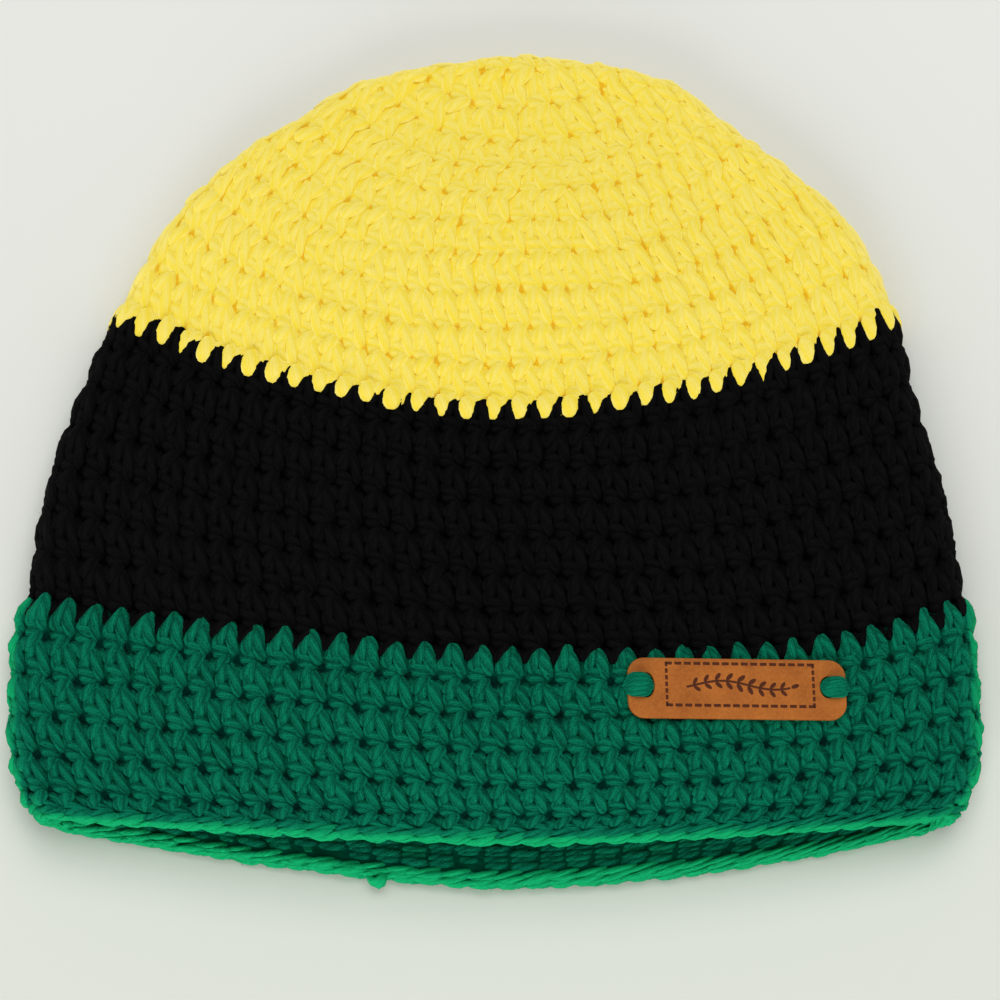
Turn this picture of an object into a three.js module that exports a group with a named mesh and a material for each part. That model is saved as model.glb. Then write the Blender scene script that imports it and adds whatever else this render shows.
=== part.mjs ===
// A crocheted beanie laid flat on its back, worked from the crown down in three colours of yarn,
// with a leather label sewn to the brim band by two yarn loops. Millimetres, +Z up: +X runs across
// the cap, +Y from the mouth to the crown, and the floor is at the lowest face.
import * as THREE from 'three';

// The laid cap
const CAP_WIDTH = 236.6; // across the brim band, fold to fold
const CAP_LENGTH = 224; // from the top fold to the lower rim
const CAP_THICKNESS = 25; // floor to the highest point of the upper layer
const WALL = 5; // crocheted fabric
const FOLD_AIR = 1.5; // inner radius left where the fabric turns over
const LIP = 1.8; // how far the rounded rim stands past the last round line
const ROUND_RELIEF = 0.7; // how far each round swells between two round lines
const SEAM_GAP = 0.3; // between two neighbouring pieces

// Rounds of half double crochet in each colour, and the chain edge as a share of a round
const CROWN_ROUNDS = 13;
const MIDDLE_ROUNDS = 7;
const BRIM_ROUNDS = 5;
const CHAIN_EDGE = 0.6;

// The label
const TAG_LENGTH = 52.7;
const TAG_HEIGHT = 14.5;
const TAG_THICKNESS = 1.6;
const TAG_CORNER = 4;
const TAG_OFFSET = 0.238; // its middle, right of the cap's middle line, in cap widths
const TAG_ROUNDS_DOWN = 1.25; // its middle, in rounds below the brim band's first line
const TAG_TURN = 0.6; // degrees about its own face
const HOLE_LENGTH = 4.4;
const HOLE_HEIGHT = 6.6;
const BRIDGE = 2.2; // leather left between a hole and the label's end
const LOOP_WIDTH = 5;
const LOOP_YARN = 2; // thickness of the yarn pulled flat over the bridge
const LOOP_RISE = 0.6; // the holes and loops sit this far above the label's middle

// How finely the fabric is faceted
const AROUND = 56;
const CROWN_STEPS = 3; // for each round that turns over the top fold
const STEPS = 2; // for each further round

const rounds = CROWN_ROUNDS + MIDDLE_ROUNDS + BRIM_ROUNDS + CHAIN_EDGE;
const foldRadius = WALL + FOLD_AIR;
const quarterFold = (foldRadius * Math.PI) / 2;
const halfWidth = CAP_WIDTH / 2;
const shellRise = CAP_THICKNESS - 2 * foldRadius;

// Where each round line runs. at: share of the way from the crown's pole to the rim. centre: shift
// of its middle, in cap widths. half: half width, in half cap widths. side, front, back: distance
// below the top fold where it crosses the side folds and the middle of the upper and lower layer,
// in cap lengths. bendLeft, bendRight: exponents of the line's curve on each side of the middle.
// rise: how full the upper layer stands.
const LINES = table(['at', 'centre', 'half', 'side', 'front', 'back', 'bendLeft', 'bendRight', 'rise'], [
  [0.0, 0.024, 0.0, 0.0, 0.0, 0.06, 2.0, 2.0, 0.0],
  [0.12, 0.023, 0.21, 0.015, 0.037, 0.17, 2.2, 2.2, 0.05],
  [0.176, 0.019, 0.287, 0.026, 0.115, 0.226, 2.4, 2.4, 0.2],
  [0.219, 0.018, 0.372, 0.042, 0.159, 0.266, 2.6, 2.6, 0.38],
  [0.273, 0.009, 0.486, 0.089, 0.211, 0.318, 2.9, 2.9, 0.62],
  [0.352, 0.005, 0.613, 0.142, 0.299, 0.391, 3.0, 3.0, 0.85],
  [0.43, 0.01, 0.757, 0.226, 0.394, 0.464, 2.3, 2.3, 0.97],
  [0.508, 0.007, 0.848, 0.336, 0.481, 0.537, 1.8, 1.9, 1.0],
  [0.586, -0.003, 0.896, 0.435, 0.562, 0.61, 1.6, 2.3, 1.0],
  [0.684, -0.006, 0.955, 0.562, 0.664, 0.702, 1.5, 2.9, 0.98],
  [0.781, -0.004, 0.981, 0.689, 0.765, 0.793, 1.4, 3.4, 0.95],
  [0.801, -0.006, 0.997, 0.711, 0.784, 0.812, 1.4, 3.4, 0.93],
  [0.879, -0.006, 1.0, 0.8, 0.858, 0.885, 1.4, 3.0, 0.82],
  [0.9375, -0.004, 0.989, 0.867, 0.912, 0.94, 1.4, 2.4, 0.66],
  [0.977, -0.004, 0.965, 0.907, 0.943, 0.973, 1.4, 1.9, 0.52],
  [1.0, -0.004, 0.94, 0.927, 0.96, 0.992, 1.4, 1.8, 0.45],
]);

// The first rounds, which lie on the lower layer and reach over the top fold: half width in half
// cap widths, then how far past the fold each one lies at its sides, its front and its back, along
// the fabric and in cap lengths. Less than zero is on the lower layer.
const CROWN_LINES = table(['at', 'half', 'side', 'front', 'back'], [
  [0.0, 0.0, -0.077, -0.077, -0.077],
  [0.039, 0.08, -0.074, -0.034, -0.114],
  [0.078, 0.152, -0.062, 0.009, -0.151],
  [0.117, 0.211, -0.045, 0.054, -0.188],
  [0.156, 0.262, -0.027, 0.103, -0.224],
  [0.195, 0.325, -0.013, 0.152, -0.261],
  [0.234, 0.402, -0.004, 0.192, -0.297],
  [0.273, 0.486, 0.0, 0.228, -0.334],
]);
const OVER_TOP = 0.19; // until here a line follows CROWN_LINES alone
const ON_SIDES = 0.27; // from here it follows LINES alone
const SHOULDER_ROWS = 8; // rows of LINES from the top fold to the end of the round crown

// A table's rows as objects, and a smooth curve through any of its columns
function table(columns, rows) {
  return rows.map((row) => Object.fromEntries(columns.map((name, i) => [name, row[i]])));
}

function slopeAt(rows, i, key, name) {
  const before = rows[Math.max(i - 1, 0)];
  const after = rows[Math.min(i + 1, rows.length - 1)];
  return (after[name] - before[name]) / (after[key] - before[key]);
}

function read(rows, key, at, name) {
  let i = 0;
  while (i < rows.length - 2 && rows[i + 1][key] < at) i += 1;
  const span = rows[i + 1][key] - rows[i][key];
  const t = THREE.MathUtils.clamp((at - rows[i][key]) / span, 0, 1);
  const before = slopeAt(rows, i, key, name) * span;
  const after = slopeAt(rows, i + 1, key, name) * span;
  const ease = t * t * (3 - 2 * t);
  const bow = t * (1 - t) * ((1 - t) * before - t * after);
  return rows[i][name] + (rows[i + 1][name] - rows[i][name]) * ease + bow;
}

// How far in from a fold's edge, and how far up from its middle, fabric lies that is a distance
// past the fold
function foldIn(past) {
  const turned = Math.min(past, quarterFold) / foldRadius;
  return foldRadius * (1 - Math.cos(turned)) + Math.max(past - quarterFold, 0);
}

function foldUp(past) {
  return foldRadius * Math.sin(Math.min(past, quarterFold) / foldRadius);
}

// The top fold's distance below its highest point, at a distance from the middle line
function shoulderDrop(across) {
  const shoulder = LINES.slice(0, SHOULDER_ROWS);
  return CAP_LENGTH * read(shoulder, 'half', Math.abs(across) / halfWidth, 'side');
}

// Points of the outer face where the first rounds turn over the top fold
function crownPoint(angle, at) {
  const line = (name) => read(CROWN_LINES, 'at', at, name);
  const sine = Math.sin(angle);
  const reach = sine > 0 ? line('front') : 2 * line('side') - line('back');
  const past = CAP_LENGTH * (line('side') + (reach - line('side')) * sine);
  const across = halfWidth * line('half') * Math.cos(angle);
  return new THREE.Vector3(
    across,
    -shoulderDrop(across) - foldIn(Math.abs(past)),
    foldRadius + Math.sign(past) * foldUp(Math.abs(past)),
  );
}

// Points of the outer face where the rounds run from side fold to side fold
function bodyPoint(angle, at) {
  const line = (name) => read(LINES, 'at', at, name);
  const upper = Math.sin(angle) > 0;
  const share = Math.abs(Math.cos(angle));
  const bend = line(Math.cos(angle) > 0 ? 'bendRight' : 'bendLeft');
  const depth = line(upper ? 'front' : 'back') - line('side');
  const drop = CAP_LENGTH * depth * (1 - share ** bend);
  const inward = Math.hypot(halfWidth * line('half') * (1 - share), drop);
  const flat = 1 - Math.min(inward / foldRadius, 1);
  const up = foldRadius * Math.sqrt(1 - flat * flat);
  return new THREE.Vector3(
    halfWidth * line('half') * Math.cos(angle),
    -CAP_LENGTH * line('side') - drop,
    foldRadius + (upper ? up : -up),
  );
}

function outerPoint(angle, at) {
  const sides = THREE.MathUtils.smoothstep(at, OVER_TOP, ON_SIDES);
  let point;
  if (sides === 0) point = crownPoint(angle, at);
  else if (sides === 1) point = bodyPoint(angle, at);
  else point = crownPoint(angle, at).lerp(bodyPoint(angle, at), sides);
  point.x += CAP_WIDTH * read(LINES, 'at', at, 'centre');
  const sine = Math.max(Math.sin(angle), 0);
  point.z += shellRise * read(LINES, 'at', at, 'rise') * sine ** 2.5;
  return point;
}

// The direction from the pole to the rim along the outer face, and the outward direction
function directions(angle, at) {
  const step = 0.004;
  const from = Math.max(at - step, step);
  const along = outerPoint(angle, from + 2 * step).sub(outerPoint(angle, from)).normalize();
  const across = outerPoint(angle + step, from + step).sub(outerPoint(angle - step, from + step));
  return { along, outward: across.cross(along).normalize() };
}

// A swelling that is full halfway between two round lines and nothing where the cap rests
function swelling(angle, at) {
  const crest = Math.sin(Math.PI * at * rounds) ** 2;
  const raised = THREE.MathUtils.smoothstep(Math.sin(angle), -0.35, 0.2);
  return ROUND_RELIEF * (crest - 1) * raised;
}

// A point of the fabric at a depth below its outer face, moved along the fabric by a shift
function fabricPoint(angle, at, depth, shift) {
  const { along, outward } = directions(angle, at);
  const lift = depth === 0 ? swelling(angle, at) : -depth;
  return outerPoint(angle, at).addScaledVector(outward, lift).addScaledVector(along, shift);
}

function ring(at, depth, shift) {
  const angles = Array.from({ length: AROUND }, (_, i) => (2 * Math.PI * i) / AROUND);
  return angles.map((angle) => fabricPoint(angle, at, depth, shift));
}

// The rings of one face of a band, from its first round line to its last, which stand back from
// the lines by the given shifts
function face(stops, depth, firstShift, lastShift) {
  const last = stops.length - 1;
  const shifts = stops.map((_, k) => (k === 0 ? firstShift : 0) - (k === last ? lastShift : 0));
  return stops.map((at, k) => ring(at, depth, shifts[k]));
}

// Shares of the way at which a face has rings, from one round line to another
function stations(from, to, perRound) {
  const count = Math.round((to - from) * perRound);
  return Array.from({ length: count + 1 }, (_, k) => (from + ((to - from) * k) / count) / rounds);
}

// Two triangles between four corners, split along the shorter diagonal
function facets(a, b, c, d) {
  return a.distanceTo(c) < b.distanceTo(d) ? [a, b, c, a, c, d] : [a, b, d, b, c, d];
}

// Joins rings, and single points at a pole, into one closed skin
function skin(rings) {
  const loops = rings[0].length === 1 ? rings : [...rings, rings[0]];
  const corners = [];
  for (let k = 0; k + 1 < loops.length; k += 1) {
    const from = loops[k];
    const to = loops[k + 1];
    for (let i = 0; i < AROUND; i += 1) {
      const j = (i + 1) % AROUND;
      if (from.length === 1) corners.push(from[0], to[j], to[i]);
      else if (to.length === 1) corners.push(from[i], from[j], to[0]);
      else corners.push(...facets(from[i], from[j], to[j], to[i]));
    }
  }
  return new THREE.BufferGeometry().setFromPoints(corners);
}

// The crown's pole on a face, which lies on the lower layer
function pole(depth) {
  const point = outerPoint(0, 0);
  point.z += depth;
  return [point];
}

function crownGeometry() {
  const turn = Math.ceil(OVER_TOP * rounds) + 2;
  const outer = [...stations(0, turn, CROWN_STEPS), ...stations(turn, CROWN_ROUNDS, STEPS).slice(1)];
  const inner = [...stations(0, turn, STEPS), ...stations(turn, CROWN_ROUNDS, 1).slice(1)];
  return skin([
    pole(0),
    ...face(outer.slice(1), 0, 0, SEAM_GAP / 2),
    ...face(inner.slice(1), WALL, 0, SEAM_GAP / 2).reverse(),
    pole(WALL),
  ]);
}

function middleGeometry() {
  const ends = [CROWN_ROUNDS, CROWN_ROUNDS + MIDDLE_ROUNDS];
  return skin([
    ...face(stations(...ends, STEPS), 0, SEAM_GAP / 2, SEAM_GAP / 2),
    ...face(stations(...ends, 1), WALL, SEAM_GAP / 2, SEAM_GAP / 2).reverse(),
  ]);
}

// The brim band ends in a rim that is rounded from the outer face to the inner one
function brimGeometry() {
  const ends = [CROWN_ROUNDS + MIDDLE_ROUNDS, rounds];
  return skin([
    ...face(stations(...ends, STEPS), 0, SEAM_GAP / 2, 0),
    ring(1, 0.2 * WALL, 0.6 * LIP),
    ring(1, 0.5 * WALL, LIP),
    ring(1, 0.8 * WALL, 0.6 * LIP),
    ...face(stations(...ends, 1), WALL, SEAM_GAP / 2, 0).reverse(),
  ]);
}

// The label: round corners, and a hole near each end
function tagGeometry() {
  const x = TAG_LENGTH / 2;
  const y = TAG_HEIGHT / 2;
  const shape = new THREE.Shape();
  shape.moveTo(TAG_CORNER - x, -y);
  shape.lineTo(x - TAG_CORNER, -y);
  shape.absarc(x - TAG_CORNER, TAG_CORNER - y, TAG_CORNER, -Math.PI / 2, 0);
  shape.absarc(x - TAG_CORNER, y - TAG_CORNER, TAG_CORNER, 0, Math.PI / 2);
  shape.absarc(TAG_CORNER - x, y - TAG_CORNER, TAG_CORNER, Math.PI / 2, Math.PI);
  shape.absarc(TAG_CORNER - x, TAG_CORNER - y, TAG_CORNER, Math.PI, 1.5 * Math.PI);
  for (const side of [-1, 1]) {
    const middle = side * (x - BRIDGE - HOLE_LENGTH / 2);
    const hole = new THREE.Path();
    hole.absellipse(middle, LOOP_RISE, HOLE_LENGTH / 2, HOLE_HEIGHT / 2, 0, 2 * Math.PI, true);
    shape.holes.push(hole);
  }
  return new THREE.ExtrudeGeometry(shape, { depth: TAG_THICKNESS, bevelEnabled: false, curveSegments: 6 });
}

// A yarn loop that comes up through a hole, over the bridge and down past the label's end
class LoopPath extends THREE.Curve {
  constructor(reach, top, foot) {
    super();
    this.reach = reach;
    this.top = top;
    this.foot = foot;
  }

  getPoint(t, target = new THREE.Vector3()) {
    const turn = Math.PI * t;
    const height = this.foot + (this.top - this.foot) * Math.sin(turn) ** 0.5;
    return target.set(-this.reach * Math.cos(turn), 0, height);
  }
}

function loopGeometry() {
  const reach = BRIDGE / 2 + SEAM_GAP + LOOP_YARN / 2;
  const top = TAG_THICKNESS + 2 * SEAM_GAP + LOOP_YARN / 2;
  const section = new THREE.Shape();
  section.absellipse(0, 0, LOOP_WIDTH / 2, LOOP_YARN / 2, 0, 2 * Math.PI);
  const path = new LoopPath(reach, top, 0);
  return new THREE.ExtrudeGeometry(section, { steps: 10, extrudePath: path, curveSegments: 5 });
}

// The highest that the fabric reaches in a frame, under the label and a little round it
function fabricRise(frame) {
  const local = frame.clone().invert();
  const heights = stations(CROWN_ROUNDS, CROWN_ROUNDS + MIDDLE_ROUNDS + BRIM_ROUNDS, STEPS)
    .flatMap((at) => ring(at, 0, 0))
    .map((point) => point.applyMatrix4(local))
    .filter((p) => Math.abs(p.x) < TAG_LENGTH / 2 + 2 && Math.abs(p.y) < TAG_HEIGHT / 2 + 2)
    .map((p) => p.z);
  return Math.max(0, ...heights);
}

// The label's place: level with the fabric under its middle, and clear of the round swellings
function tagFrame() {
  const at = (CROWN_ROUNDS + MIDDLE_ROUNDS + TAG_ROUNDS_DOWN) / rounds;
  const across = CAP_WIDTH * (TAG_OFFSET - read(LINES, 'at', at, 'centre'));
  const angle = Math.acos(across / (halfWidth * read(LINES, 'at', at, 'half')));
  const up = directions(angle, at).outward;
  const right = new THREE.Vector3(1, 0, 0).addScaledVector(up, -up.x).normalize();
  const frame = new THREE.Matrix4().makeBasis(right, up.clone().cross(right), up);
  const middle = outerPoint(angle, at);
  frame.setPosition(middle);
  return frame.setPosition(middle.addScaledVector(up, fabricRise(frame) + SEAM_GAP));
}

function yarn(name, colour, geometry) {
  const material = new THREE.MeshStandardMaterial({ color: colour, roughness: 0.95, metalness: 0 });
  const mesh = new THREE.Mesh(geometry, material);
  mesh.name = name;
  return mesh;
}

const cap = new THREE.Group();
cap.add(yarn('crown', 0xf6d24e, crownGeometry()));
cap.add(yarn('middle_band', 0x0d0d0e, middleGeometry()));
cap.add(yarn('brim_band', 0x00684a, brimGeometry()));

const label = new THREE.Group();
const leather = new THREE.MeshStandardMaterial({ color: 0xb86c36, roughness: 0.6, metalness: 0 });
const tag = new THREE.Mesh(tagGeometry(), leather);
tag.name = 'leather_tag';
label.add(tag);
for (const [name, side] of [['tag_loop_left', -1], ['tag_loop_right', 1]]) {
  const loop = yarn(name, 0x00684a, loopGeometry());
  loop.position.set(side * (TAG_LENGTH / 2 - BRIDGE / 2), LOOP_RISE, 0);
  label.add(loop);
}
label.applyMatrix4(tagFrame().multiply(new THREE.Matrix4().makeRotationZ(TAG_TURN * THREE.MathUtils.DEG2RAD)));
cap.add(label);

// The origin is the middle of the cap's outline on the floor
const bounds = new THREE.Box3().setFromObject(cap, true);
const middle = bounds.getCenter(new THREE.Vector3());
cap.position.set(-middle.x, -middle.y, -bounds.min.z);

export default cap;
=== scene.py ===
# A crocheted beanie laid flat: yellow crown, black middle and green brim in half double crochet,
# with a leather label held by two yarn loops.
import math

import bpy
import numpy as np
from mathutils import Matrix, Vector


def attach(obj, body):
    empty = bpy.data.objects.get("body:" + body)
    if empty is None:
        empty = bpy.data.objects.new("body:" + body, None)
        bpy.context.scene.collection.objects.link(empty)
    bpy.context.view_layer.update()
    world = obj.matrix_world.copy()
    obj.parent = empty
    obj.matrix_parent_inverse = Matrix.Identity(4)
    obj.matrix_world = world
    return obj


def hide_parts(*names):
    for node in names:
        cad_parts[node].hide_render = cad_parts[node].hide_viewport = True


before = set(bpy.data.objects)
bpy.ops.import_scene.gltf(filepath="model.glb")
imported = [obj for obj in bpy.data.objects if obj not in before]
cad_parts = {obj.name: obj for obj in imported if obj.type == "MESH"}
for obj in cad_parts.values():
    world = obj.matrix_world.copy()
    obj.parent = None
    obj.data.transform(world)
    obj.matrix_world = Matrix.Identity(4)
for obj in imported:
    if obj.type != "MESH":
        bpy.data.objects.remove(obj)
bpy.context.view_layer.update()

MM = 0.001

# The laid cap, as its solids have it
CAP_WIDTH, CAP_LENGTH, CAP_THICKNESS = 236.6, 224.0, 25.0
WALL, FOLD_AIR, LIP = 5.0, 1.5, 1.8
CROWN_ROUNDS, MIDDLE_ROUNDS, BRIM_ROUNDS, CHAIN_EDGE = 13, 7, 5, 0.6
CAP_PLACE = (1.5, 112.145, 0.0)
rounds = CROWN_ROUNDS + MIDDLE_ROUNDS + BRIM_ROUNDS + CHAIN_EDGE
fold_radius = WALL + FOLD_AIR
quarter_fold = fold_radius * math.pi / 2
half_width = CAP_WIDTH / 2
shell_rise = CAP_THICKNESS - 2 * fold_radius

# Where each round line runs, in the same shares as the solids
LINE_NAMES = ("at", "centre", "half", "side", "front", "back", "bend_left", "bend_right", "rise")
LINES = [
    (0.0, 0.024, 0.0, 0.0, 0.0, 0.06, 2.0, 2.0, 0.0),
    (0.12, 0.023, 0.21, 0.015, 0.037, 0.17, 2.2, 2.2, 0.05),
    (0.176, 0.019, 0.287, 0.026, 0.115, 0.226, 2.4, 2.4, 0.2),
    (0.219, 0.018, 0.372, 0.042, 0.159, 0.266, 2.6, 2.6, 0.38),
    (0.273, 0.009, 0.486, 0.089, 0.211, 0.318, 2.9, 2.9, 0.62),
    (0.352, 0.005, 0.613, 0.142, 0.299, 0.391, 3.0, 3.0, 0.85),
    (0.43, 0.01, 0.757, 0.226, 0.394, 0.464, 2.3, 2.3, 0.97),
    (0.508, 0.007, 0.848, 0.336, 0.481, 0.537, 1.8, 1.9, 1.0),
    (0.586, -0.003, 0.896, 0.435, 0.562, 0.61, 1.6, 2.3, 1.0),
    (0.684, -0.006, 0.955, 0.562, 0.664, 0.702, 1.5, 2.9, 0.98),
    (0.781, -0.004, 0.981, 0.689, 0.765, 0.793, 1.4, 3.4, 0.95),
    (0.801, -0.006, 0.997, 0.711, 0.784, 0.812, 1.4, 3.4, 0.93),
    (0.879, -0.006, 1.0, 0.8, 0.858, 0.885, 1.4, 3.0, 0.82),
    (0.9375, -0.004, 0.989, 0.867, 0.912, 0.94, 1.4, 2.4, 0.66),
    (0.977, -0.004, 0.965, 0.907, 0.943, 0.973, 1.4, 1.9, 0.52),
    (1.0, -0.004, 0.94, 0.927, 0.96, 0.992, 1.4, 1.8, 0.45),
]
CROWN_NAMES = ("at", "half", "side", "front", "back")
CROWN_LINES = [
    (0.0, 0.0, -0.077, -0.077, -0.077),
    (0.039, 0.08, -0.074, -0.034, -0.114),
    (0.078, 0.152, -0.062, 0.009, -0.151),
    (0.117, 0.211, -0.045, 0.054, -0.188),
    (0.156, 0.262, -0.027, 0.103, -0.224),
    (0.195, 0.325, -0.013, 0.152, -0.261),
    (0.234, 0.402, -0.004, 0.192, -0.297),
    (0.273, 0.486, 0.0, 0.228, -0.334),
]
OVER_TOP, ON_SIDES, SHOULDER_ROWS = 0.19, 0.27, 8

# Stitches: how many each round adds, the most that a round has, how far each round sits on from the
# one above, in stitches, how far up it reaches, in rounds, and how far round the upper layer goes
INCREASE, STITCHES, STITCH_SHIFT, ROUND_LAP, UPPER_SHARE = 7, 72, 0.22, 1.06, 0.27

# One stitch, in stitch widths across and round heights down from where it rises, with the height
# over the fabric's outer face and the yarn's radius in millimetres
PITCH_ACROSS, PITCH_DOWN = 6.6, 9.0
STRANDS = {
    "right_leg": ((-0.03, 0.02, -1.5), (0.12, 0.46, -0.45), (0.28, 0.96, -1.8), 1.5),
    "left_leg": ((-0.06, 0.04, -1.6), (-0.30, 0.36, -0.9), (-0.46, 0.74, -2.0), 1.55),
    "upper_wrap": ((-0.52, 0.58, -1.9), (-0.20, 0.70, -0.85), (0.14, 0.88, -1.9), 1.45),
    "lower_wrap": ((-0.52, 0.82, -1.9), (-0.20, 0.93, -0.95), (0.14, 1.05, -1.9), 1.45),
    "front_loop": ((-0.40, 1.42, -0.6), (-0.13, 1.17, -0.5), (0.22, 0.95, -1.9), 1.55),
    "loop_root": ((-0.62, 1.04, -1.9), (-0.52, 1.20, -1.2), (-0.42, 1.38, -1.8), 1.4),
}
# The two sides of the peaks that the green's first round pushes up into the black, and the rounded
# tips that the crown's last round lays over the black
PEAKS = (
    ((-0.07, -0.05, -1.0), (-0.22, 0.30, 0.1), (-0.37, 0.76, -1.2), 1.6),
    ((-0.12, -0.03, -1.0), (0.06, 0.34, 0.0), (0.26, 0.86, -1.4), 1.55),
)
TIP = ((-0.36, 0.96, -1.3), (-0.37, 1.24, 0.0), (-0.41, 1.54, -1.0), 2.5)
# The small holes between stitches, where shade is painted: where they lie from a stitch's start, how far
# their painted shade reaches, and where their row lies in the fabric behind
HOLES = ((0.40, 1.0), (-0.60, 1.0), (0.18, 0.0), (-0.82, 0.0))
HOLE_ACROSS, HOLE_DOWN, HOLE_ROW = 0.14, 0.17, 0.94
# painted light: yarn that faces sideways is painted lighter, as if its fuzz caught the light
SIDE_GLOW = 2.6  # how much a band's yarn catches the light where it faces sideways
# The chain edge in the same way, but with rounds down the strip, and with how brightly each strand is
# painted lit, as if catching the light, as a last value
EDGE_STRANDS = {
    "third_loop": ((-0.62, 25.22, -1.7), (0.0, 25.29, -0.7), (0.62, 25.45, -1.7), 1.35, 0.6),
    "front_chain": ((-0.64, 25.72, -1.3), (-0.02, 25.57, -0.3), (0.62, 25.42, -1.4), 1.5, 0.95),
    "edge_chain": ((-0.68, 26.00, -1.0), (-0.02, 25.85, 0.0), (0.64, 25.70, -1.0), 1.55, 1.55),
    "under_chain": ((-0.66, 26.24, -1.2), (0.10, 26.14, -0.1), (0.68, 25.98, -1.1), 1.5, 2.0),
    "back_chain": ((-0.68, 26.56, -1.2), (0.0, 26.40, -0.15), (0.66, 26.26, -1.1), 1.5, 1.9),
}
# Each is two plies: their share of the radius, and how far apart they lie, in rounds and in stitches
EDGE_PLY, EDGE_PLY_APART, EDGE_PLY_SLIP = 0.66, 0.07, 0.1
# The rounds seen inside the mouth: how many, how far down the strip the first one starts, their
# spacing, and in each the bars that make a block, one below the other
INSIDE_ROUNDS, INSIDE_START, INSIDE_STEP = 3, 26.78, 0.97
INSIDE_BARS = (0.0, 0.2, 0.4, 0.6)
INSIDE_BAR = ((-0.52, 0.02, -1.4), (0.0, 0.0, -1.0), (0.52, -0.02, -1.4), 1.8)
# A yarn end that stands out of the lower rim: its shape, its place and how brightly it is painted lit
YARN_END = ((-0.36, 0.10, -1.2), (0.02, 0.0, 2.0), (0.32, -0.05, -1.4), 1.3)
YARN_END_ROUND, YARN_END_SHARE, YARN_END_LIT = 26.05, 0.563, 1.8
# How unevenly the hand works: turns, in radians, sizes, places, in millimetres, lightness and rounds
UNEVEN_TURN, UNEVEN_SIZE, UNEVEN_PLACE, UNEVEN_TONE, UNEVEN_ROUND = 0.05, 0.05, 0.18, 0.3, 0.03
# Stray fibres, in millimetres, with how deep their roots sit and how lit they are painted
FIBRES_PER_STRAND, FIBRE_LENGTH, FIBRE_RADIUS = 2, (0.4, 1.3), 0.05
FIBRE_ROOT, FIBRE_PAINTED_LIGHT = 0.3, 0.8

# How large and how raised each yarn's strands lie, how far the painted shade at its holes reaches and how
# dark it is painted
LIE = {
    "yellow": (1.14, 0.56, 1.22, 1.6),
    "black": (1.04, 0.9, 1.5, 2.0),
    "green": (1.0, 0.9, 1.45, 2.0),
}

# Each yarn's colours, with light and shade painted in: lit, shaded, painted shade in the crevices, and a
# painted highlight on edges that catch the light
YARNS = {
    "yellow": ((0.70, 0.622, 0.186), (0.69, 0.562, 0.042), (0.58, 0.29, 0.010), (0.715, 0.635, 0.223)),
    "black": (
        (0.0046, 0.0046, 0.0047),
        (0.0016, 0.0016, 0.0017),
        (0.0006, 0.0006, 0.0006),
        (0.005, 0.005, 0.005),
    ),
    "green": ((0.002, 0.216, 0.112), (0.0, 0.066, 0.034), (0.0, 0.014, 0.010), (0.006, 0.46, 0.165)),
}
# A painted glow, given as emission, for light that the pale yellow yarn passes on into its crevices, in the
# strands and behind them
PASSED_LIGHT = ((1.0, 0.75, 0.055, 1.0), 0.25)
PASSED_LIGHT_BEHIND = ((1.0, 0.60, 0.02, 1.0), 0.2)
# The leather, light and dark, and the burnt lines, dark and light
LEATHER = ((0.40, 0.122, 0.018), (0.29, 0.082, 0.011))
BURNT = ((0.06, 0.016, 0.007), (0.08, 0.022, 0.009))

# The label, in millimetres in its own plane, and its place in the cap's frame
TAG_LENGTH, TAG_HEIGHT, TAG_THICKNESS, TAG_CORNER = 52.7, 14.5, 1.6, 4.0
HOLE_LENGTH, HOLE_HEIGHT, BRIDGE, LOOP_RISE = 4.4, 6.6, 2.2, 0.6
TAG_PLACE = (57.843, -68.236, 20.927)
TAG_RIGHT = (0.99425, 0.01558, -0.10593)
TAG_UP = (0.10656, -0.04775, 0.99316)
# Yarn stays this far below the label and above the floor. Yarn that would stand higher over the
# label's underside than the last value isn't pressed
BELOW_LABEL, ABOVE_FLOOR, PRESSED_HEIGHT = 0.1, 0.02, 4
# The punched holes show this much less than their full length, and than their height, left and right
PUNCH_LESS_LONG, PUNCH_LESS_HIGH = 0.5, {-1: 0.7, 1: 1.4}
# The burnt frame's sides, how many dashes its long and short sides have, how many the sprig's stem
# has, and its pairs of leaves
FRAME_LEFT, FRAME_RIGHT, FRAME_LOW, FRAME_HIGH = -17.1, 18.4, -4.2, 5.95
LONG_DASHES, SHORT_DASHES, STEM_PIECES, LEAF_PAIRS = 16, 7, 26, 9
BURNT_SINK = 0.09  # how deep the lines' middles lie in the leather
# Each loop: its turns of yarn, their spacing left and right, where they enter the hole and the
# fabric, inwards from the label's end, and the yarn's radius
LOOP_TURNS, LOOP_SPACING, LOOP_INNER, LOOP_OUTER, LOOP_YARN = 5, {-1: 0.98, 1: 0.8}, 6.7, -1.3, 1.05


def smooth_step(x, low, high):
    t = np.clip((x - low) / (high - low), 0, 1)
    return t * t * (3 - 2 * t)


def read(rows, names, key, at, name):
    """A smooth curve through one column of a table."""
    keys = np.array([r[names.index(key)] for r in rows])
    values = np.array([r[names.index(name)] for r in rows])
    slopes = np.empty_like(values)
    slopes[1:-1] = (values[2:] - values[:-2]) / (keys[2:] - keys[:-2])
    slopes[0] = (values[1] - values[0]) / (keys[1] - keys[0])
    slopes[-1] = (values[-1] - values[-2]) / (keys[-1] - keys[-2])
    at = np.asarray(at, float)
    i = np.clip(np.searchsorted(keys, at, side="left") - 1, 0, len(keys) - 2)
    span = keys[i + 1] - keys[i]
    t = np.clip((at - keys[i]) / span, 0, 1)
    ease = t * t * (3 - 2 * t)
    bow = t * (1 - t) * ((1 - t) * slopes[i] - t * slopes[i + 1]) * span
    return values[i] + (values[i + 1] - values[i]) * ease + bow


def line(at, name):
    return read(LINES, LINE_NAMES, "at", at, name)


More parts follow.
